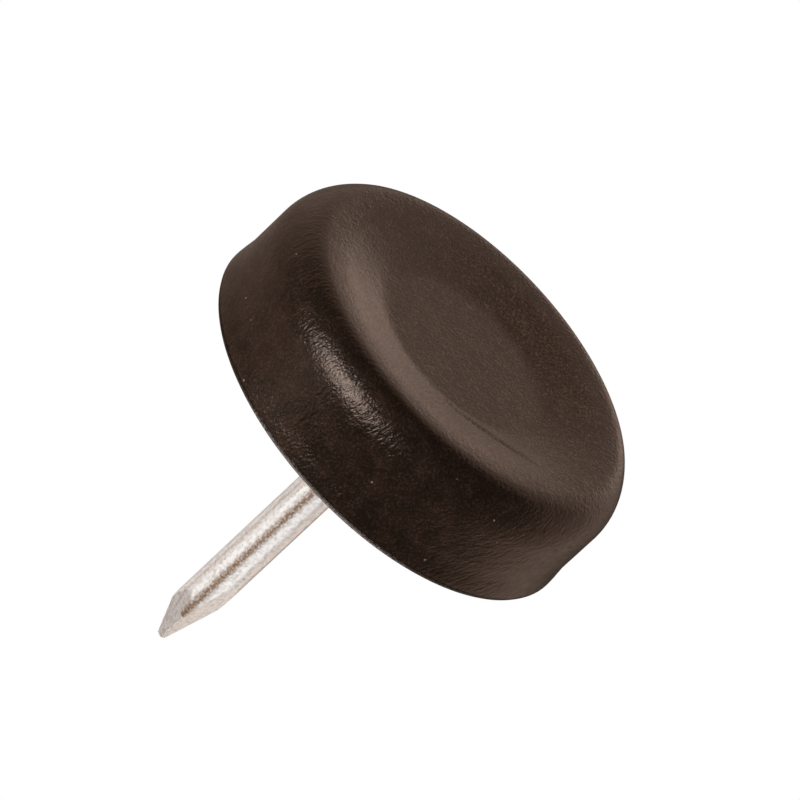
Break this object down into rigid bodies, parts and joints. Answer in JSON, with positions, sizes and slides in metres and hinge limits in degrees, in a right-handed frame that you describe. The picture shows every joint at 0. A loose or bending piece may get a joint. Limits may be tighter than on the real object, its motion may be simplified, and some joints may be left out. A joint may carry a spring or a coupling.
{
  "type": "nail-on furniture glide",
  "caption": "Round nail-on furniture glide: a solid moulded brown plastic head with a dished face and a round front edge, on a steel nail that drives into the leg's end.",
  "frame": {"origin": "on the nail's axis, in the plane of the glide face's rim, on which the part stands", "axes": "+Z along the nail, from the glide face towards the nail's tip"},
  "size_m": [0.02, 0.02, 0.0215],
  "materials": {
    "moulded_plastic": "dark brown satin moulding",
    "zinc_steel": "bright zinc-plated wire"
  },
  "bodies": {
    "root": {"glide_head": "moulded_plastic", "nail": "zinc_steel"}
  },
  "joints": []
}
